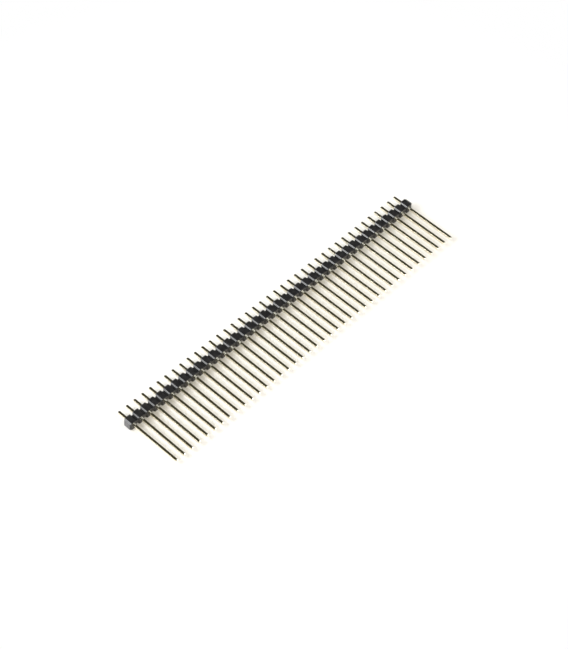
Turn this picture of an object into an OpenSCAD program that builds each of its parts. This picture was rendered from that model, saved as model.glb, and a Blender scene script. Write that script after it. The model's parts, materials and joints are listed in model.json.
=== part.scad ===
// Straight single-row breakaway pin header with extra-long mating pins.
// The strip lies on its side: X runs along the row, the short board tails point to +Y,
// the long mating pins point to -Y, and +Z is up.
// The origin is the middle of the housing's board face, on the line of the pin centres.

/* [Row] */
// Number of pins, which is also the number of breakaway segments
pin_count = 40; // [2:1:59]
// Distance from one pin to the next
pitch = 2.54; // [2.3:0.01:4]

/* [Housing] */
// Height of the moulded bar, across the row
housing_height = 2.5; // [2:0.05:4]
// Depth of the moulded bar, along the pins
housing_depth = 2.5; // [1:0.05:9]
// Width of the slot between two segments
slot_width = 0.5; // [0.3:0.05:0.6]
// Slanted cut around the corners of a segment that face its neighbours
corner_cut = 0.3; // [0.15:0.01:0.4]
// Thickness of the web that joins two segments, which is where the strip snaps
web_thickness = 1.1; // [0.6:0.05:1.15]
// Edge break along the four long edges of the bar
edge_break = 0.08; // [0.02:0.01:0.12]

/* [Pins] */
// Side of the square pin wire
pin_size = 0.64; // [0.5:0.01:0.7]
// Radius on the four long corners of the wire
pin_corner = 0.03; // [0.02:0.01:0.12]
// Reach of the board tails beyond the board face
tail_reach = 3; // [1.8:0.1:12]
// Reach of the mating pins beyond the mating face
mating_reach = 14.5; // [1.8:0.1:30]
// Length of the blunt four-sided point at each end
point_length = 0.25; // [0.1:0.05:1.5]
// Side of the flat that ends each point
point_flat = 0.42; // [0.1:0.01:0.48]
// Gap between a pin's wire and its hole; 0 is the real press fit, face to face
pin_clearance = 0; // [0:0.01:0.05]

/* [Hidden] */
$fn = 32;
row_length = pin_count * pitch;
pin_length = tail_reach + housing_depth + mating_reach;
half_height = housing_height / 2;
web_half = web_thickness / 2;
segment_half = (pitch - slot_width) / 2;
hole_size = pin_size + 2 * pin_clearance;
hole_corner = pin_corner + pin_clearance;
// How far a cutting tool runs past the face that it cuts
overcut = 0.5;

plastic_black = "#1a1b1e";
pin_gold = "#c8ab62";

// Name of a pin's node, numbered from the -X end of the strip
function pin_name(i) = str("pin_", i < 10 ? "0" : "", i);

// Place of a pin along the row, which is centred on the origin
function pin_x(i) = (i - (pin_count + 1) / 2) * pitch;

// Upper edge of one segment in front view, from the web on its left to the one on its right.
// On a side with no neighbour the slanted cut runs on to the end of the strip.
function front_edge(i) = [
    if (i > 1) [pin_x(i) - segment_half, web_half],
    if (i > 1) [pin_x(i) - segment_half, half_height - corner_cut],
    [pin_x(i) - segment_half + corner_cut, half_height],
    [pin_x(i) + segment_half - corner_cut, half_height],
    if (i < pin_count) [pin_x(i) + segment_half, half_height - corner_cut],
    if (i < pin_count) [pin_x(i) + segment_half, web_half]
];

// Edge of one segment seen from above, measured out from the middle of the bar's depth
function plan_edge(i) = [
    if (i > 1) [pin_x(i) - segment_half, housing_depth / 2 - corner_cut],
    [pin_x(i) - segment_half + corner_cut, housing_depth / 2],
    [pin_x(i) + segment_half - corner_cut, housing_depth / 2],
    if (i < pin_count) [pin_x(i) + segment_half, housing_depth / 2 - corner_cut]
];

// Closed outline of the bar: one edge, then the same edge mirrored and followed back.
// The strip ends in two flat faces, half a pitch beyond the outer pins, with this half size.
function closed_outline(edge, end_half) = concat(
    [[-row_length / 2, end_half]],
    edge,
    [[row_length / 2, end_half], [row_length / 2, -end_half]],
    [for (n = [len(edge) - 1:-1:0]) [edge[n][0], -edge[n][1]]],
    [[-row_length / 2, -end_half]]
);

// Lays an outline drawn in X and Z along the pins, from y_start towards +Y
module along_pins(y_start, length) {
    translate([0, y_start + length, 0])
        rotate([90, 0, 0])
            linear_extrude(length) children();
}

// Square wire section with rounded corners
module wire_section(size, corner) {
    square([size, size - 2 * corner], center = true);
    square([size - 2 * corner, size], center = true);
    for (sx = [-1, 1], sz = [-1, 1])
        translate([sx * (size / 2 - corner), sz * (size / 2 - corner)])
            circle(corner);
}

// Pin outline seen from above or from the side: straight wire, pointed at both ends
module pin_outline() {
    front = -housing_depth - mating_reach;
    half = pin_size / 2;
    tip = point_flat / 2;
    polygon([
        [-tip, front],
        [tip, front],
        [half, front + point_length],
        [half, tail_reach - point_length],
        [tip, tail_reach],
        [-tip, tail_reach],
        [-half, tail_reach - point_length],
        [-half, front + point_length]
    ]);
}

// One pin on the row's centre: a round-cornered wire cut to the two pointed outlines
module pin() {
    color(pin_gold)
        intersection() {
            along_pins(-housing_depth - mating_reach, pin_length)
                wire_section(pin_size, pin_corner);
            translate([0, 0, -pin_size])
                linear_extrude(2 * pin_size) pin_outline();
            translate([-pin_size, 0, 0])
                rotate([0, 90, 0])
                    linear_extrude(2 * pin_size) pin_outline();
        }
}

// Side view of the bar with its four long edges broken
module bar_section() {
    half = half_height;
    polygon([
        [-housing_depth + edge_break, -half],
        [-edge_break, -half],
        [0, -half + edge_break],
        [0, half - edge_break],
        [-edge_break, half],
        [-housing_depth + edge_break, half],
        [-housing_depth, half - edge_break],
        [-housing_depth, -half + edge_break]
    ]);
}

// Bar in front view: eight-sided segments joined by their webs
module front_outline() {
    polygon(closed_outline(
        [for (i = [1:pin_count]) each front_edge(i)],
        half_height - corner_cut
    ));
}

// Bar seen from above, on the middle of its depth
module plan_outline() {
    polygon(closed_outline(
        [for (i = [1:pin_count]) each plan_edge(i)],
        housing_depth / 2 - corner_cut
    ));
}

// Moulded bar of segments with slots on all four sides, so that it snaps apart anywhere
module housing() {
    color(plastic_black)
        difference() {
            intersection() {
                along_pins(-housing_depth, housing_depth) front_outline();
                translate([0, -housing_depth / 2, -half_height])
                    linear_extrude(housing_height) plan_outline();
                translate([-row_length / 2 - overcut, 0, 0])
                    rotate([90, 0, 90])
                        linear_extrude(row_length + 2 * overcut) bar_section();
            }
            for (i = [1:pin_count])
                translate([pin_x(i), 0, 0])
                    along_pins(-housing_depth - overcut, housing_depth + 2 * overcut)
                        wire_section(hole_size, hole_corner);
        }
}

housing();
for (i = [1:pin_count])
    translate([pin_x(i), 0, 0]) pin();
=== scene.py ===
"""Straight pin header lying on a pale table: gold-plated pins in a black bar that snaps apart.

Every length is in millimetres inside the classes and becomes metres in the mesh.
X runs along the row, the long mating pins point to -Y and +Z is up.
"""

import json
import logging
import math
from dataclasses import dataclass, field
from enum import Enum

import bmesh
import bpy
import numpy as np
from mathutils import Matrix, Vector

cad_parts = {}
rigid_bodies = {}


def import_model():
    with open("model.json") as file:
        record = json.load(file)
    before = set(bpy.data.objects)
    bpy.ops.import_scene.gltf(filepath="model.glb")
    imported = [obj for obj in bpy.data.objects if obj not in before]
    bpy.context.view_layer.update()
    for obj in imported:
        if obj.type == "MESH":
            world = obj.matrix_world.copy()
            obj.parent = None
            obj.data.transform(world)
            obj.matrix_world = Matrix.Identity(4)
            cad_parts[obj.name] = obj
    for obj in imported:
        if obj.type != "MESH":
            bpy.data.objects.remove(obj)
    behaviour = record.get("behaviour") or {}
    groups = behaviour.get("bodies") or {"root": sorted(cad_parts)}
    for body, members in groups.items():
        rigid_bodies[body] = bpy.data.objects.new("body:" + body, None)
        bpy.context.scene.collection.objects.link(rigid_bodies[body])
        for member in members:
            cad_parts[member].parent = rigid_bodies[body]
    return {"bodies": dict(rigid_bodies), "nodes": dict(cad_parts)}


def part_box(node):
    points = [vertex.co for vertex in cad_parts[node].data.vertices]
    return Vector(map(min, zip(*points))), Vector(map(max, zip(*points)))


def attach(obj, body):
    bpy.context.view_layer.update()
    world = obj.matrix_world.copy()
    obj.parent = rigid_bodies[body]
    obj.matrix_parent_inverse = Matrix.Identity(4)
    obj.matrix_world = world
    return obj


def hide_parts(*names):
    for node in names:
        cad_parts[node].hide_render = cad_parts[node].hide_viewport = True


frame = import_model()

Triple = tuple[float, float, float]
Paint = tuple[float, float, float, float]

log = logging.getLogger("pin_header")
MM = 0.001
BODY = "root"
TONE = "plating_tone"
EVEN: Triple = (1.0, 1.0, 1.0)
WHITE: Paint = (1.0, 1.0, 1.0, 1.0)


class Mixing(Enum):
    """How two colours meet in a Mix node."""

    BLEND = "MIX"
    ADD = "ADD"


class Signal:
    """One output socket of a node tree, used in ordinary arithmetic."""

    def __init__(self, board: "NodeBoard", socket: bpy.types.NodeSocket) -> None:
        """Wraps a socket.

        Args:
            board: The board whose tree holds the socket.
            socket: The output socket that carries the value.
        """
        self.board = board
        self.socket = socket

    def _math(
        self, operation: str, first: "Signal | float", second: "Signal | float"
    ) -> "Signal":
        """Adds one Math node.

        Args:
            operation: The node's operation.
            first: Upper value.
            second: Lower value.

        Returns:
            The result as a signal.
        """
        return self.board.signal("ShaderNodeMath", {"operation": operation}, {0: first, 1: second})

    def __add__(self, other: "Signal | float") -> "Signal":
        """Returns self + other."""
        return self._math("ADD", self, other)

    __radd__ = __add__

    def __sub__(self, other: "Signal | float") -> "Signal":
        """Returns self - other."""
        return self._math("SUBTRACT", self, other)

    def __rsub__(self, other: "Signal | float") -> "Signal":
        """Returns other - self."""
        return self._math("SUBTRACT", other, self)

    def __mul__(self, other: "Signal | float") -> "Signal":
        """Returns self * other."""
        return self._math("MULTIPLY", self, other)

    __rmul__ = __mul__

    def larger(self, other: "Signal | float") -> "Signal":
        """Returns the larger of self and other."""
        return self._math("MAXIMUM", self, other)

    def step_up(self, low: float, high: float) -> "Signal":
        """Smooth step: 0 below low, 1 above high.

        Args:
            low: Where the step leaves 0.
            high: Where the step reaches 1.

        Returns:
            The stepped signal.
        """
        return self.board.signal(
            "ShaderNodeMapRange",
            {"interpolation_type": "SMOOTHSTEP"},
            {"Value": self, "From Min": low, "From Max": high, "To Min": 0.0, "To Max": 1.0},
        )


@dataclass(frozen=True)
class NoiseLayer:
    """Cloudy noise on a piece's own coordinates.

    Attributes:
        scale: Blotches for each millimetre.
        detail: Number of finer layers.
        rough: Strength of the finer layers.
        stretch: How many times faster it runs along X, Y and Z.
    """

    scale: float
    detail: float
    rough: float = 0.5
    stretch: Triple = EVEN


class Target(Enum):
    """What a node tree ends in."""

    MATERIAL = "ShaderNodeOutputMaterial"
    WORLD = "ShaderNodeOutputWorld"


class NodeBoard:
    """The node tree of a material or world, with the one way to put nodes on it."""

    # Kinds of ray by which a thing is looked at
    LOOKS = ("Camera", "Glossy", "Transmission")

    def __init__(self, name: str, target: Target = Target.MATERIAL) -> None:
        """Starts an empty tree.

        Args:
            name: The name of the material or world.
            target: Whether the tree is a material's or a world's.
        """
        library = bpy.data.materials if target is Target.MATERIAL else bpy.data.worlds
        self.owner = library.new(name)
        self.owner.use_nodes = True
        self.tree = self.owner.node_tree
        self.tree.nodes.clear()
        self.output = self.tree.nodes.new(target.value)

    def add(
        self, kind: str, settings: dict | None = None, sockets: dict | None = None
    ) -> bpy.types.Node:
        """Adds one node: its settings first, then the values or links of its sockets.

        Args:
            kind: The node's type.
            settings: Attributes of the node.
            sockets: Input names or numbers, each with a value or a Signal.

        Returns:
            The new node.
        """
        node = self.tree.nodes.new(kind)
        for key, value in (settings or {}).items():
            setattr(node, key, value)
        for key, value in (sockets or {}).items():
            if isinstance(value, Signal):
                self.tree.links.new(value.socket, node.inputs[key])
            else:
                node.inputs[key].default_value = value
        return node

    def signal(
        self,
        kind: str,
        settings: dict | None = None,
        sockets: dict | None = None,
        output: int | str = 0,
    ) -> Signal:
        """Adds one node and returns one of its outputs.

        Args:
            kind: The node's type.
            settings: As in add.
            sockets: As in add.
            output: Name or number of the output.

        Returns:
            That output as a signal.
        """
        return Signal(self, self.add(kind, settings, sockets).outputs[output])

    def place(self, stretch: Triple = EVEN) -> Signal:
        """Object coordinates in millimetres, stretched on each axis.

        Args:
            stretch: How many times faster they run along X, Y and Z.

        Returns:
            The vector for a texture.
        """
        spot = self.signal("ShaderNodeTexCoord", output="Object")
        scale = tuple(s / MM for s in stretch)
        return self.signal("ShaderNodeMapping", None, {"Vector": spot, "Scale": scale})

    def noise(self, layer: NoiseLayer) -> Signal:
        """Cloudy noise from 0 to 1.

        Args:
            layer: What the noise is like.

        Returns:
            The noise's value.
        """
        sockets = {
            "Vector": self.place(layer.stretch),
            "Scale": layer.scale,
            "Detail": layer.detail,
            "Roughness": layer.rough,
        }
        return self.signal("ShaderNodeTexNoise", {"noise_dimensions": "3D"}, sockets, "Fac")

    def measure(self, operation: str, *vectors: Signal | Triple) -> Signal:
        """One number from vectors.

        Args:
            operation: A Vector Math operation, such as a length or a dot product.
            vectors: The vectors that it takes.

        Returns:
            The number as a signal.
        """
        sockets = dict(enumerate(vectors))
        return self.signal("ShaderNodeVectorMath", {"operation": operation}, sockets, "Value")

    def blend(
        self,
        factor: Signal,
        low: Paint | Signal,
        high: Paint | Signal,
        how: Mixing = Mixing.BLEND,
    ) -> Signal:
        """Mixes two colours.

        Args:
            factor: 0 gives the first colour.
            low: First colour.
            high: Second colour.
            how: The way they meet.

        Returns:
            The mixed colour.
        """
        settings = {"data_type": "RGBA", "blend_type": how.value}
        return self.signal("ShaderNodeMix", settings, {0: factor, 6: low, 7: high}, 2)

    def bump(
        self, height: Signal, depth: float, strength: float, under: Signal | None = None
    ) -> Signal:
        """Turns a height from 0 to 1 into a normal.

        Args:
            height: The height signal.
            depth: Height of 1, in millimetres.
            strength: Share of the effect.
            under: The normal of another bump, which this one bends further.

        Returns:
            The bent normal.
        """
        sockets = {"Height": height, "Distance": depth * MM, "Strength": strength}
        if under is not None:
            sockets["Normal"] = under
        return self.signal("ShaderNodeBump", None, sockets, "Normal")

    def seen(self) -> Signal:
        """Tells light that is looked at from light that only falls on other things.

        Returns:
            1 where the eye, a reflection or a clear body looks, and 0 for other light.
        """
        path = self.add("ShaderNodeLightPath")
        rays = [Signal(self, path.outputs[f"Is {ray} Ray"]) for ray in self.LOOKS]
        return rays[0].larger(rays[1]).larger(rays[2])

    def close(self, shader: bpy.types.Node) -> bpy.types.Material | bpy.types.World:
        """Links the last shader to the output and returns the material or world."""
        self.tree.links.new(shader.outputs[0], self.output.inputs["Surface"])
        return self.owner


def colour(red: float, green: float, blue: float) -> Paint:
    """Returns a linear colour with full alpha."""
    return (red, green, blue, 1.0)


@dataclass(frozen=True)
class MouldedPlastic:
    """Black glass-filled nylon straight from the mould: smooth, faintly clouded, slightly wavy.

    Attributes:
        dark: Its darker colour.
        light: Its lighter colour.
        gloss: Roughness where it is smoothest.
        dull: Roughness where it is dullest.
        ior: Index of refraction.
        cloud: Soft clouding of its colour and gloss.
        grain: Fine grain.
        flow: Waves drawn out along the row.
        grain_depth: Height of the grain.
        flow_depth: Height of the waves.
    """

    dark: Triple = (0.0155, 0.0158, 0.0168)
    light: Triple = (0.0260, 0.0265, 0.0275)
    gloss: float = 0.15
    dull: float = 0.27
    ior: float = 1.5
    cloud: NoiseLayer = NoiseLayer(0.9, 3.0)
    grain: NoiseLayer = NoiseLayer(14.0, 2.0, 0.6)
    flow: NoiseLayer = NoiseLayer(2.2, 2.0, stretch=(0.35, 1.0, 1.0))
    grain_depth: float = 0.0015
    flow_depth: float = 0.006

    def material(self) -> bpy.types.Material:
        """Builds the finish.

        The clouding sets the colour, clouding and grain together set the roughness, and the
        surface is bent by the grain and then by the waves.

        Returns:
            The material.
        """
        board = NodeBoard("moulded_plastic")
        cloud, grain, flow = (board.noise(layer) for layer in (self.cloud, self.grain, self.flow))
        tone = board.blend(cloud.step_up(0.35, 0.7), colour(*self.dark), colour(*self.light))
        rough = self.gloss + (self.dull - self.gloss) * (0.6 * cloud + 0.4 * grain)
        fine = board.bump(grain, self.grain_depth, 0.5)
        wavy = board.bump(flow, self.flow_depth, 0.8, fine)
        sockets = {"Base Color": tone, "Roughness": rough, "IOR": self.ior, "Normal": wavy}
        return board.close(board.add("ShaderNodeBsdfPrincipled", None, sockets))


@dataclass(frozen=True)
class CutPlastic:
    """The same plastic on the parted face at each end of the strip, given a much lighter grey than
    the moulded bar: dull and faintly torn.

    Attributes:
        dark: Its darker colour.
        light: Its lighter colour.
        gloss: Roughness where it is smoothest.
        dull: Roughness where it is dullest.
        ior: Index of refraction.
        torn: Torn patches.
        drag: Lines drawn out along the pins.
        depth: Height of both together.
    """

    dark: Triple = (0.098, 0.097, 0.099)
    light: Triple = (0.205, 0.203, 0.207)
    gloss: float = 0.45
    dull: float = 0.70
    ior: float = 1.5
    torn: NoiseLayer = NoiseLayer(1.6, 3.0, 0.6)
    drag: NoiseLayer = NoiseLayer(3.0, 3.0, 0.6, stretch=(1.0, 1.0, 5.0))
    depth: float = 0.03

    def material(self) -> bpy.types.Material:
        """Builds the finish.

        Patches and lines together set the colour and bend the surface, and the lines alone
        set the roughness.

        Returns:
            The material.
        """
        board = NodeBoard("cut_plastic")
        torn, drag = board.noise(self.torn), board.noise(self.drag)
        mask = (0.5 * torn + 0.5 * drag).step_up(0.3, 0.7)
        tone = board.blend(mask, colour(*self.dark), colour(*self.light))
        rough = self.gloss + (self.dull - self.gloss) * drag
        bent = board.bump(0.4 * torn + 0.6 * drag, self.depth, 0.8)
        sockets = {"Base Color": tone, "Roughness": rough, "IOR": self.ior, "Normal": bent}
        return board.close(board.add("ShaderNodeBsdfPrincipled", None, sockets))


@dataclass(frozen=True)
class PalePlating:
    """Thin pale gold over drawn square wire: fine lines along the wire and slight clouding.

    Attributes:
        gold: Its paler colour.
        deep: Its deeper colour.
        gloss: Roughness where it is smoothest.
        dull: Roughness where it is dullest.
        drawn: Fine lines along the wire.
        cloud: Soft clouding of its colour and gloss.
        depth: Height of the lines.
    """

    gold: Triple = (0.96, 0.92, 0.78)
    deep: Triple = (0.94, 0.88, 0.71)
    gloss: float = 0.10
    dull: float = 0.20
    drawn: NoiseLayer = NoiseLayer(22.0, 2.0, stretch=(1.0, 0.03, 1.0))
    cloud: NoiseLayer = NoiseLayer(0.8, 2.0, stretch=(1.0, 0.5, 1.0))
    depth: float = 0.0012

    def material(self) -> bpy.types.Material:
        """Builds the finish.

        The clouding and the pin's own tone, which its mesh holds, set the colour. Clouding and
        lines set the roughness, and the lines bend the surface.

        Returns:
            The material.
        """
        board = NodeBoard("pale_plating")
        drawn, cloud = board.noise(self.drawn), board.noise(self.cloud)
        own = board.signal("ShaderNodeAttribute", {"attribute_name": TONE}, output="Fac")
        mask = (0.5 * cloud + 0.5 * own).step_up(0.2, 0.8)
        tone = board.blend(mask, colour(*self.gold), colour(*self.deep))
        rough = self.gloss + (self.dull - self.gloss) * (0.5 * cloud + 0.5 * drawn)
        bent = board.bump(drawn, self.depth, 0.5)
        sockets = {"Base Color": tone, "Metallic": 1.0, "Roughness": rough, "Normal": bent}
        return board.close(board.add("ShaderNodeBsdfPrincipled", None, sockets))


@dataclass(frozen=True)
class PaleTable:
    """Plain warm white table that keeps the soft shadow and runs out into plain white.

    Attributes:
        paint: Colour of its matt surface.
        glow: Faint light of its own, which only the eye and reflections see.
        near: Distance from the middle of the strip at which it starts to turn plain white.
        far: Distance at which it is plain white.
        speck: Its faint clouding.
        lift: How far the clouding takes its colour up and down.
    """

    paint: Triple = (0.885, 0.883, 0.875)
    glow: Triple = (0.118, 0.114, 0.098)
    near: float = 62.0
    far: float = 125.0
    speck: NoiseLayer = NoiseLayer(0.05, 2.0)
    lift: float = 0.01

    def material(self) -> bpy.types.Material:
        """Builds the finish: matt paint with a faint glow nearby, and plain white far away.

        The glow and the plain white show only where the table is looked at. The plain white
        takes over smoothly between the near and the far distance.

        Returns:
            The material.
        """
        board = NodeBoard("pale_table")
        seen = board.seen()
        low, high = (colour(*(c + s for c in self.paint)) for s in (-self.lift, self.lift))
        paint = board.blend(board.noise(self.speck), low, high)
        matt = board.signal("ShaderNodeBsdfDiffuse", None, {"Color": paint})
        glow = board.blend(seen, colour(0.0, 0.0, 0.0), colour(*self.glow))
        light = board.signal("ShaderNodeEmission", None, {"Color": glow})
        nearby = board.signal("ShaderNodeAddShader", None, {0: matt, 1: light})
        plain = board.signal("ShaderNodeEmission", None, {"Color": WHITE})
        mask = seen * board.measure("LENGTH", board.place()).step_up(self.near, self.far)
        return board.close(board.add("ShaderNodeMixShader", None, {0: mask, 1: nearby, 2: plain}))


@dataclass(frozen=True)
class SkyPatch:
    """One soft-edged bright patch of the surroundings, brightest in its middle.

    Attributes:
        azimuth: Direction of its middle in degrees, counted from +X towards +Y.
        elevation: Height of its middle above the table, in degrees.
        level: Brightness of its middle.
        tint: Its colour at a level of 1.
    """

    azimuth: float
    elevation: float
    level: float
    tint: Triple = EVEN

    @property
    def toward(self) -> Triple:
        """Direction of the patch's middle."""
        turn, rise = math.radians(self.azimuth), math.radians(self.elevation)
        return (math.cos(turn) * math.cos(rise), math.sin(turn) * math.cos(rise), math.sin(rise))

    @property
    def paint(self) -> Paint:
        """The patch's colour at its middle."""
        return colour(*(self.level * part for part in self.tint))


@dataclass(frozen=True)
class SoftSurroundings:
    """A dim room with soft bright patches, cool towards +Y and warm towards -X and -Y.

    Attributes:
        patches: The bright patches.
        rim: Angle from a patch's middle to its edge, in degrees.
        mirrored: Share of a patch's light that reflections see.
        gloom: Colour between the patches.
    """

    patches: tuple[SkyPatch, ...] = (
        SkyPatch(126, 30, 3.05, (0.94, 1.0, 1.07)),
        SkyPatch(120, 54, 0.42, (0.96, 1.0, 1.04)),
        SkyPatch(180, 54, 0.72, (1.10, 0.99, 0.92)),
        SkyPatch(240, 54, 0.62, (1.12, 0.99, 0.80)),
        SkyPatch(306, 30, 2.0, (1.09, 0.99, 0.87)),
    )
    rim: float = 38.0
    mirrored: float = 0.35
    gloom: Triple = (0.048, 0.044, 0.028)

    def world(self) -> bpy.types.World:
        """Builds the surroundings: plain white to the eye itself, and dimmer patches to mirrors.

        Each patch falls off smoothly to its rim, by the cosine of the angle from its middle,
        and all of them are added to the gloom.

        Returns:
            The world.
        """
        board = NodeBoard("surroundings", Target.WORLD)
        look = board.signal("ShaderNodeTexCoord", output="Generated")
        mirror = board.signal("ShaderNodeLightPath", output="Is Glossy Ray")
        share = 1.0 - (1.0 - self.mirrored) * mirror
        edge = math.cos(math.radians(self.rim))
        total = colour(*self.gloom)
        for patch in self.patches:
            mask = share * board.measure("DOT_PRODUCT", look, patch.toward).step_up(edge, 1.0)
            total = board.blend(mask, total, patch.paint, Mixing.ADD)
        direct = board.signal("ShaderNodeLightPath", output="Is Camera Ray")
        shown = board.blend(direct, total, WHITE)
        return board.close(board.add("ShaderNodeBackground", None, {"Color": shown}))


def torus_faces(rows: int, columns: int) -> np.ndarray:
    """Quads of a grid that closes on itself both ways.

    Face (r, c) joins points (r, c), (r, c+1), (r+1, c+1) and (r+1, c), with r and c counted
    round the ends.

    Args:
        rows: Number of rings.
        columns: Number of points in a ring.

    Returns:
        An array of point numbers, one row of four for each face.
    """
    r, c = np.meshgrid(np.arange(rows), np.arange(columns), indexing="ij")
    below, beside = (r + 1) % rows, (c + 1) % columns
    turns = (r * columns + c, r * columns + beside, below * columns + beside, below * columns + c)
    return np.stack(turns, -1).reshape(-1, 4)


def tube_faces(rows: int, columns: int) -> list[tuple[int, ...]]:
    """Faces of rings carried along a path, with each end closed by one flat face.

    Args:
        rows: Number of rings.
        columns: Number of points in a ring.

    Returns:
        A list of faces.
    """
    sides = torus_faces(rows, columns).reshape(rows, columns, 4)[:-1].reshape(-1, 4)
    first = tuple(range(columns))[::-1]
    last = tuple(range((rows - 1) * columns, rows * columns))
    return [first, *map(tuple, sides.tolist()), last]


def box_faces() -> np.ndarray:
    """Quads of a box whose eight corners are two rings of four."""
    sides = torus_faces(2, 4)[:4]
    return np.vstack([sides, [[3, 2, 1, 0]], [[4, 5, 6, 7]]])


def add_mesh(
    name: str,
    points: np.ndarray,
    faces: list | np.ndarray,
    finish: bpy.types.Material,
) -> bpy.types.Object:
    """Makes an object at the origin from points in millimetres.

    Doubled points are merged and every face is turned outwards.

    Args:
        name: The object's name.
        points: One row of X, Y, Z for each point.
        faces: Point numbers of each face.
        finish: Its material.

    Returns:
        The new object.
    """
    mesh = bpy.data.meshes.new(name)
    faces = faces.tolist() if isinstance(faces, np.ndarray) else faces
    mesh.from_pydata((np.asarray(points, float) * MM).tolist(), [], faces)
    clean = bmesh.new()
    clean.from_mesh(mesh)
    bmesh.ops.remove_doubles(clean, verts=clean.verts, dist=1e-7)
    bmesh.ops.recalc_face_normals(clean, faces=clean.faces)
    clean.to_mesh(mesh)
    clean.free()
    mesh.polygons.foreach_set("use_smooth", np.ones(len(mesh.polygons), bool))
    mesh.materials.append(finish)
    made = bpy.data.objects.new(name, mesh)
    bpy.context.scene.collection.objects.link(made)
    return made


def round_edges(
    piece: bpy.types.Object, radius: float, segments: int = 3, angle: float = 20.0
) -> None:
    """Adds a Bevel modifier that rounds a piece's edges.

    Args:
        piece: The piece.
        radius: Width of the rounding in millimetres.
        segments: Number of steps across it.
        angle: Edges sharper than this many degrees are rounded.
    """
    bevel = piece.modifiers.new("edge_rounding", "BEVEL")
    bevel.width, bevel.segments = radius * MM, segments
    bevel.limit_method, bevel.angle_limit = "ANGLE", math.radians(angle)
    bevel.harden_normals = True


def seat(piece: bpy.types.Object, slot: str, *nodes: str) -> bpy.types.Object:
    """Rides a piece on the one body and lets it stand for CAD nodes.

    Args:
        piece: The finished piece.
        slot: The record's material slot; not used.
        nodes: The CAD nodes that it stands for.

    Returns:
        The same piece.
    """
    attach(piece, BODY)
    if nodes:
        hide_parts(*nodes)
    return piece


class End(Enum):
    """The two ends of the strip, each with the sign of its X."""

    LEFT = -1
    RIGHT = 1


@dataclass(frozen=True)
class TornFace:
    """Roughness of a parted face, as shares of the relief that it takes up.

    Attributes:
        steps: Number of points along each side.
        cells: Number of coarse random values along each side.
        level: The usual depth.
        waves: Weight of the coarse values.
        fine: Weight of the fine values.
        most: The largest depth.
    """

    steps: int = 24
    cells: int = 7
    level: float = 0.4
    waves: float = 0.25
    fine: float = 0.1
    most: float = 0.9

    def depth(self, seed: int) -> np.ndarray:
        """Random depth of each point of the face.

        Random values on a coarse grid are joined in straight lines both ways, and finer ones
        are added to them.

        Args:
            seed: Seed of the face.

        Returns:
            A square array of shares.
        """
        chance = np.random.default_rng(seed)
        coarse = chance.normal(size=(self.cells, self.cells))
        # The last point stays just inside the last cell
        spot = np.linspace(0, self.cells - 1.001, self.steps)
        cell, part = spot.astype(int), spot % 1
        rows = coarse[cell] * (1 - part)[:, None] + coarse[cell + 1] * part[:, None]
        waves = rows[:, cell] * (1 - part) + rows[:, cell + 1] * part
        fine = chance.normal(size=waves.shape)
        return np.clip(self.level + self.waves * waves + self.fine * fine, 0, self.most)


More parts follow.
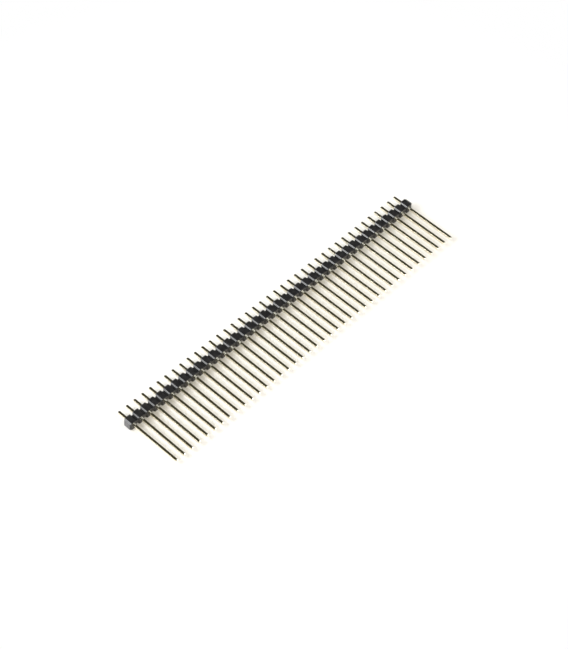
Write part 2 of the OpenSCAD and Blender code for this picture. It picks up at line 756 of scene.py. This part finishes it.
@dataclass
class SnapBar:
    """The moulded bar: a row of cornered segments on recessed webs, with a hole for each pin.

    Attributes:
        places: X of each pin.
        low: Lowest corner of the bar.
        high: Highest corner of the bar.
        slot_width: Width of the slot between two segments.
        corner_cut: Slanted cut around the corners that face a neighbour.
        edge_break: Edge break along the four long edges.
        web_height: Height of the webs.
        hole_half: Half width of a hole, a little more than a pin's.
        hole_lead: How far a hole widens at each face.
        hole_corner: Cut in the corners of a hole.
        rounding: Width of the rounding of every edge.
        end_relief: How deep a parted end face may be torn.
        sink: How far webs and end faces are sunk into the segments.
        seeds: Seed of each end face.
        torn: Roughness of the end faces.
        finish: Finish of the bar.
        cut: Finish of the end faces.
    """

    places: np.ndarray
    low: np.ndarray
    high: np.ndarray
    slot_width: float = 0.5
    corner_cut: float = 0.3
    edge_break: float = 0.08
    web_height: float = 1.1
    hole_half: float = 0.3215
    hole_lead: float = 0.03
    hole_corner: float = 0.03
    rounding: float = 0.035
    end_relief: float = 0.05
    sink: float = 0.02
    seeds: dict[End, int] = field(default_factory=lambda: {End.LEFT: 5, End.RIGHT: 8})
    torn: TornFace = TornFace()
    finish: MouldedPlastic = MouldedPlastic()
    cut: CutPlastic = CutPlastic()

    @property
    def pitch(self) -> float:
        """Distance between neighbouring pins."""
        return float(np.mean(np.diff(self.places)))

    @property
    def half(self) -> np.ndarray:
        """Half width of a segment, half depth and half height of the bar."""
        return np.array([(self.pitch - self.slot_width) / 2, *((self.high - self.low) / 2)[1:]])

    @property
    def middle(self) -> np.ndarray:
        """Middle of the bar's box."""
        return (self.high + self.low) / 2

    @property
    def end_half(self) -> np.ndarray:
        """Half depth and half height of the flat face at each end of the strip."""
        return self.half[1:] - self.corner_cut

    def ring(self, inset: float) -> Triple:
        """Half width, half height and corner cut of a segment's section.

        With s the distance from the nearer end face, cut the corner cut and e the edge break,
        the half width is w - cut + min(s, cut), the half height is h - e + min(s, e), and the
        section is cut where |x| + |z| passes w + h - cut.

        Args:
            inset: Distance from the nearer end face.

        Returns:
            The three sizes.
        """
        width, _, height = self.half
        wide = width - self.corner_cut + min(inset, self.corner_cut)
        tall = height - self.edge_break + min(inset, self.edge_break)
        return wide, tall, max(0.0, wide + tall - (width + height - self.corner_cut))

    @staticmethod
    def octagon(sizes: np.ndarray) -> np.ndarray:
        """Eight corners for each row of half width, half height and corner cut.

        Args:
            sizes: One row of three sizes for each ring.

        Returns:
            X and Z of eight corners for each ring, in order round the section.
        """
        wide, tall, cut = sizes.T[..., None]
        turn_x = np.array([1, 1, -1, -1, -1, -1, 1, 1.0])
        turn_z = np.array([1, 1, 1, 1, -1, -1, -1, -1.0])
        cut_x = np.array([0, 1, 1, 0, 0, 1, 1, 0.0])
        x = turn_x * (wide - cut * cut_x)
        z = turn_z * (tall - cut * (1 - cut_x))
        return np.stack([x, z], -1)

    def segment(self) -> tuple[np.ndarray, np.ndarray]:
        """One segment round a pin as a grid that closes both ways.

        The rings run along the outside from the mating face to the board face, turn in at
        the board face, go back through the pin's hole and turn out again.

        Returns:
            Points relative to the segment's middle, and faces.
        """
        depth = self.half[1]
        stops = [0.0, self.edge_break / 2, self.edge_break, self.corner_cut]
        outside = [(-depth + s, *self.ring(s)) for s in stops]
        outside += [(depth - s, *self.ring(s)) for s in reversed(stops)]
        lead, corner = self.hole_lead, self.hole_corner
        narrow, wide = self.hole_half, self.hole_half + lead
        inside = [
            (depth, wide, wide, corner),
            (depth - lead, narrow, narrow, corner),
            (-depth + lead, narrow, narrow, corner),
            (-depth, wide, wide, corner),
        ]
        rings = np.array(outside + inside)
        flat = self.octagon(rings[:, 1:])
        along = np.broadcast_to(rings[:, :1], flat.shape[:2])
        points = np.stack([flat[..., 0], along, flat[..., 1]], -1).reshape(-1, 3)
        return points, torus_faces(*flat.shape[:2])

    def run_out(self, x: np.ndarray, place: float, end: End) -> np.ndarray:
        """Stretches the slanted cut on an outer segment's free side to the end of the strip.

        Beyond t = half width - cut, the distance d from the pin becomes t + (d - t) * k, where
        k brings the side face to half a pitch, less the relief of the end face.

        Args:
            x: X of the segment's points.
            place: X of its pin.
            end: The end of the strip that the segment is at.

        Returns:
            The new X of the points.
        """
        away = (x - place) * end.value
        top = self.half[0] - self.corner_cut
        gain = (self.pitch / 2 - self.end_relief - top) / self.corner_cut
        return place + end.value * np.where(away > top, top + (away - top) * gain, away)

    def web(self) -> np.ndarray:
        """One web, a box across a slot, sunk a little into both segments.

        Returns:
            Its eight corners, relative to the middle of the slot.
        """
        reach = self.slot_width / 2 + self.sink
        depth, height = self.end_half[0], self.web_height / 2
        ring = np.array([[-depth, -height], [depth, -height], [depth, height], [-depth, height]])
        across = np.repeat([[-reach], [reach]], len(ring), axis=0)
        return np.hstack([across, np.vstack([ring, ring])])

    @staticmethod
    def repeat(
        points: np.ndarray, faces: np.ndarray, centre: np.ndarray, places: np.ndarray
    ) -> tuple[np.ndarray, np.ndarray]:
        """Repeats one shape along the row.

        Args:
            points: Points of the shape.
            faces: Its faces.
            centre: Where its middle lies in Y and Z.
            places: X of each copy.

        Returns:
            The points, with one block for each copy, and the faces, numbered through.
        """
        moved = (points + centre)[None] + places[:, None, None] * np.array([1.0, 0.0, 0.0])
        numbers = faces[None] + (np.arange(len(places)) * len(points))[:, None, None]
        return moved, numbers.reshape(-1, faces.shape[1])

    def build_bar(self) -> bpy.types.Object:
        """Builds the whole bar as one piece.

        Returns:
            The bar.
        """
        centre = np.array([0.0, *self.middle[1:]])
        slots = (self.places[1:] + self.places[:-1]) / 2
        blocks, block_faces = self.repeat(*self.segment(), centre, self.places)
        links, link_faces = self.repeat(self.web(), box_faces(), centre, slots)
        for index, end in ((0, End.LEFT), (-1, End.RIGHT)):
            blocks[index, :, 0] = self.run_out(blocks[index, :, 0], self.places[index], end)
        blocks, links = blocks.reshape(-1, 3), links.reshape(-1, 3)
        faces = np.vstack([block_faces, link_faces + len(blocks)])
        bar = add_mesh("moulded_bar", np.vstack([blocks, links]), faces, self.finish.material())
        round_edges(bar, self.rounding)
        return seat(bar, "housing_plastic", "housing")

    def build_end_face(self, end: End) -> bpy.types.Object:
        """Builds the dull cut face at one end of the strip.

        The face is a grid of u and v from -1 to 1 over the end's section, and each point lies
        as deep below the end of the strip as the torn face says. The sides run from the rim
        straight back into the last segment.

        Args:
            end: The end of the strip.

        Returns:
            The end face.
        """
        side, steps = end.value, self.torn.steps
        sunk = self.end_relief * self.torn.depth(self.seeds[end])
        along = np.linspace(-1, 1, steps)
        u, v = np.meshgrid(along, along)
        outer = self.places[0 if end is End.LEFT else -1] + side * self.pitch / 2
        depth, height = self.end_half
        y, z = self.middle[1] + u * depth, self.middle[2] + v * height
        face = np.stack([outer - side * sunk, y, z], -1).reshape(-1, 3)
        number = np.arange(steps * steps).reshape(steps, steps)
        quads = np.stack([number[:-1, :-1], number[:-1, 1:], number[1:, 1:], number[1:, :-1]], -1)
        loop = np.concatenate([number[0], number[1:, -1], number[-1, -2::-1], number[-2:0:-1, 0]])
        back = face[loop] * [0, 1, 1] + [outer - side * (self.end_relief + self.sink), 0, 0]
        rear = steps * steps + np.arange(len(loop))
        sides = np.stack([loop, np.roll(loop, -1), np.roll(rear, -1), rear], -1)
        faces = [*quads.reshape(-1, 4).tolist(), *sides.tolist(), rear.tolist()]
        name = f"end_face_{end.name.lower()}"
        cap = add_mesh(name, np.vstack([face, back]), faces, self.cut.material())
        return seat(cap, "housing_plastic")

    def build(self) -> list[bpy.types.Object]:
        """Builds the bar and its two end faces."""
        return [self.build_bar(), *(self.build_end_face(end) for end in End)]


@dataclass
class PlatedPin:
    """One square pin: drawn wire with almost sharp edges and a blunt point at each end.

    Attributes:
        number: Its number along the row, from 1.
        low: Lowest corner of the pin.
        high: Highest corner of the pin.
        mating_face: Y of the bar's mating face.
        board_face: Y of the bar's board face.
        bend: How far each tip lies aside in X and Z, the mating tip's first.
        roll: Turn about its own line, in radians.
        tone: Its place from 0 to 1 between the two colours of the plating.
        corner: Radius on the long edges.
        corner_steps: Number of steps across that radius.
        free_rings: Number of rings on the mating side.
        tail_rings: Number of rings on the board side.
        point_length: Length of each four-sided point.
        point_half: Half width of the flat that ends it.
        crease: Edges sharper than this many degrees are shaded sharp.
    """

    number: int
    low: np.ndarray
    high: np.ndarray
    mating_face: float
    board_face: float
    bend: np.ndarray
    roll: float
    tone: float
    corner: float = 0.006
    corner_steps: int = 3
    free_rings: int = 6
    tail_rings: int = 3
    point_length: float = 0.25
    point_half: float = 0.21
    crease: float = 28.0

    @property
    def half(self) -> float:
        """Half width of the wire."""
        return float(self.high[0] - self.low[0]) / 2

    def outline(self) -> np.ndarray:
        """Section of the wire for a half width of 1.

        Each corner is a quarter circle of radius r, round the point (1 - r, 1 - r) turned to
        that corner.

        Returns:
            X and Z for each point round the section.
        """
        radius = self.corner / self.half
        quarter = np.linspace(0, np.pi / 2, self.corner_steps + 1)
        angle = (quarter[None] + np.arange(4)[:, None] * np.pi / 2).ravel()
        turn = np.repeat(np.arange(4) * np.pi / 2 + np.pi / 4, self.corner_steps + 1)
        reach = (1 - radius) * math.sqrt(2)
        x = reach * np.cos(turn) + radius * np.cos(angle)
        z = reach * np.sin(turn) + radius * np.sin(angle)
        return np.stack([x, z], -1)

    def points(self) -> np.ndarray:
        """Carries the section along the pin's slightly bent line.

        Beyond each face of the bar the middle of the wire moves aside in proportion to its
        distance from that face, by the bend at the tip, and the half width falls in a
        straight line over the point.

        Returns:
            X, Y and Z of each ring's points.
        """
        front, rear = self.low[1], self.high[1]
        free = np.linspace(front + self.point_length, self.mating_face, self.free_rings)
        tail = np.linspace(self.board_face, rear - self.point_length, self.tail_rings)
        along = np.concatenate([[front], free, tail, [rear]])
        width = np.full(len(along), self.half)
        width[[0, -1]] = self.point_half
        out = np.clip((self.mating_face - along) / (self.mating_face - front), 0, 1)
        back = np.clip((along - self.board_face) / (rear - self.board_face), 0, 1)
        aside = out[:, None] * self.bend[0] + back[:, None] * self.bend[1]
        cos, sin = math.cos(self.roll), math.sin(self.roll)
        section = self.outline() @ np.array([[cos, sin], [-sin, cos]])
        middle = (self.low + self.high) / 2
        flat = section[None] * width[:, None, None] + aside[:, None] + middle[[0, 2]]
        deep = np.broadcast_to(along[:, None], flat.shape[:2])
        return np.stack([flat[..., 0], deep, flat[..., 1]], -1)

    def build(self, plating: bpy.types.Material) -> bpy.types.Object:
        """Builds the pin.

        Args:
            plating: Its material.

        Returns:
            The pin.
        """
        points = self.points()
        faces = tube_faces(*points.shape[:2])
        name = f"plated_pin_{self.number:02d}"
        pin = add_mesh(name, points.reshape(-1, 3), faces, plating)
        self.sharpen(pin)
        tone = pin.data.attributes.new(TONE, "FLOAT", "POINT")
        tone.data.foreach_set("value", np.full(len(pin.data.vertices), self.tone, np.float32))
        return seat(pin, "pin_plating", f"pin_{self.number:02d}")

    def sharpen(self, pin: bpy.types.Object) -> None:
        """Marks the sharper edges, so that flats shade flat and rounded corners round.

        Args:
            pin: The pin.
        """
        mesh = bmesh.new()
        mesh.from_mesh(pin.data)
        for edge in mesh.edges:
            edge.smooth = edge.calc_face_angle(0.0) < math.radians(self.crease)
        mesh.to_mesh(pin.data)
        mesh.free()


@dataclass
class PinRow:
    """All the pins of the strip, each a little out of line as pressed pins are.

    Attributes:
        names: The pins' CAD nodes, in order along the row.
        mating_face: Y of the bar's mating face.
        board_face: Y of the bar's board face.
        seed: Seed of the row.
        tip_wander: Usual distance of a mating tip from its true place.
        tail_wander: Usual distance of a tail's tip from its true place.
        twist: Usual turn about a pin's own line, in degrees.
        most: The largest wander and turn, in usual ones.
        finish: Finish of the pins.
    """

    names: list[str]
    mating_face: float
    board_face: float
    seed: int = 17
    tip_wander: float = 0.035
    tail_wander: float = 0.012
    twist: float = 0.7
    most: float = 2.0
    finish: PalePlating = PalePlating()

    def build(self) -> list[bpy.types.Object]:
        """Builds every pin.

        Returns:
            The pins, in order along the row.
        """
        chance = np.random.default_rng(self.seed)
        count = len(self.names)
        bend = np.clip(chance.normal(size=(count, 2, 2)), -self.most, self.most)
        bend *= np.array([self.tip_wander, self.tail_wander])[None, :, None]
        turn = np.clip(chance.normal(size=count), -self.most, self.most)
        roll = np.radians(turn * self.twist)
        tone = chance.random(count)
        plating = self.finish.material()
        pins = []
        for index, name in enumerate(self.names):
            pin = PlatedPin(
                index + 1,
                *corners(name),
                self.mating_face,
                self.board_face,
                bend[index],
                roll[index],
                tone[index],
            )
            pins.append(pin.build(plating))
        return pins


@dataclass(frozen=True)
class Lamp:
    """One soft square light, aimed at the middle of the table.

    Attributes:
        name: Its name.
        direction: Direction in which it lies.
        distance: Its distance.
        side: Width of its square.
        radiance: Brightness of its face.
        tint: Its colour.
    """

    name: str
    direction: Triple
    distance: float
    side: float
    radiance: float
    tint: Triple = EVEN

    def build(self) -> bpy.types.Object:
        """Builds the light, with the power that gives its face the radiance.

        Returns:
            The light.
        """
        light = bpy.data.lights.new(self.name, "AREA")
        light.shape, light.size = "SQUARE", self.side * MM
        light.energy = self.radiance * math.pi * (self.side * MM) ** 2
        light.color = self.tint
        made = bpy.data.objects.new(self.name, light)
        bpy.context.scene.collection.objects.link(made)
        toward = Vector(self.direction).normalized()
        made.location = toward * self.distance * MM
        made.rotation_euler = toward.to_track_quat("Z", "Y").to_euler()
        made.visible_camera = False
        return made


@dataclass
class Studio:
    """The pale table, soft lights, dim surroundings and the camera.

    Attributes:
        table_height: Z of the table.
        table_half: Half width of the table.
        table: Finish of the table.
        surroundings: What is around the table.
        lamps: The lights.
        focal_length: The camera's focal length.
        film_width: Width of its film.
        clip_range: Nearest and farthest distance that it sees.
        azimuth: Its azimuth in degrees, counted from -Y towards +X.
        elevation: Its elevation in degrees.
        lean: Its turn about its own line of sight, in degrees.
        aim: The point that it looks at.
        distance: Its distance from that point.
    """

    table_height: float
    table_half: float = 3000.0
    table: PaleTable = PaleTable()
    surroundings: SoftSurroundings = SoftSurroundings()
    lamps: tuple[Lamp, ...] = (
        Lamp("side_light", (-0.78, 0.41, 0.47), 400, 150, 6.9),
        Lamp("high_side_light", (-0.62, 0.41, 0.67), 420, 110, 6.8),
        Lamp("front_light", (0.47, -0.41, 0.78), 400, 130, 5.8, (0.97, 1.01, 1.02)),
    )
    focal_length: float = 104.57
    film_width: float = 36.0
    clip_range: tuple[float, float] = (10.0, 10000.0)
    azimuth: float = -48.808
    elevation: float = 51.333
    lean: float = 3.273
    aim: Triple = (-2.0138, -6.3312, 0.0)
    distance: float = 469.15

    def build_table(self) -> bpy.types.Object:
        """Builds the table as one wide flat sheet under the strip.

        Returns:
            The table.
        """
        ring = np.array([[-1, -1], [1, -1], [1, 1], [-1, 1]]) * self.table_half
        points = np.hstack([ring, np.full((4, 1), self.table_height)])
        table = add_mesh("table", points, [(0, 1, 2, 3)], self.table.material())
        return table

    def build_camera(self) -> bpy.types.Object:
        """Places the camera on its sphere round the aim, leaning by a few degrees.

        Back points from the aim to the camera, right is level, and both right and up are then
        turned about back by the lean.

        Returns:
            The camera.
        """
        turn, rise, lean = (math.radians(x) for x in (self.azimuth, self.elevation, self.lean))
        level = math.cos(rise)
        back = Vector((math.sin(turn) * level, -math.cos(turn) * level, math.sin(rise)))
        right = Vector((math.cos(turn), math.sin(turn), 0.0))
        up = back.cross(right)
        side = right * math.cos(lean) + up * math.sin(lean)
        top = up * math.cos(lean) - right * math.sin(lean)
        spot = (Vector(self.aim) + back * self.distance) * MM
        camera = bpy.data.objects.new("camera", bpy.data.cameras.new("camera"))
        camera.data.lens, camera.data.sensor_width = self.focal_length, self.film_width
        camera.data.clip_start, camera.data.clip_end = (x * MM for x in self.clip_range)
        rows = [[side[k], top[k], back[k], spot[k]] for k in range(3)]
        camera.matrix_world = Matrix([*rows, [0.0, 0.0, 0.0, 1.0]])
        bpy.context.scene.collection.objects.link(camera)
        bpy.context.scene.camera = camera
        return camera

    def build(self) -> None:
        """Builds the camera, the table, the surroundings and the lights."""
        self.build_camera()
        self.build_table()
        bpy.context.scene.world = self.surroundings.world()
        for lamp in self.lamps:
            lamp.build()
        bpy.context.scene.view_settings.view_transform = "Standard"


def corners(node: str) -> tuple[np.ndarray, np.ndarray]:
    """Lowest and highest corner of a CAD node in millimetres."""
    return tuple(np.array(corner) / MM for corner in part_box(node))


def clear_leftovers() -> None:
    """Removes what Blender itself put in the scene before the frame was loaded."""
    kept = {*frame["nodes"].values(), *frame["bodies"].values()}
    for leftover in [o for o in bpy.data.objects if o not in kept]:
        bpy.data.objects.remove(leftover)


def main() -> None:
    """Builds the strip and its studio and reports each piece."""
    logging.basicConfig(level=logging.INFO, format="%(name)s: %(message)s")
    clear_leftovers()
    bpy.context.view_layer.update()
    low, high = corners("housing")
    names = sorted(name for name in frame["nodes"] if name.startswith("pin_"))
    places = np.array([sum(c[0] for c in corners(name)) / 2 for name in names])
    made = SnapBar(places, low, high).build()
    made += PinRow(names, low[1], high[1]).build()
    Studio(table_height=low[2]).build()
    for piece in made:
        size = len(piece.data.vertices), len(piece.data.polygons)
        log.info("%s: %d points, %d faces", piece.name, *size)


if __name__ == "__main__":
    main()
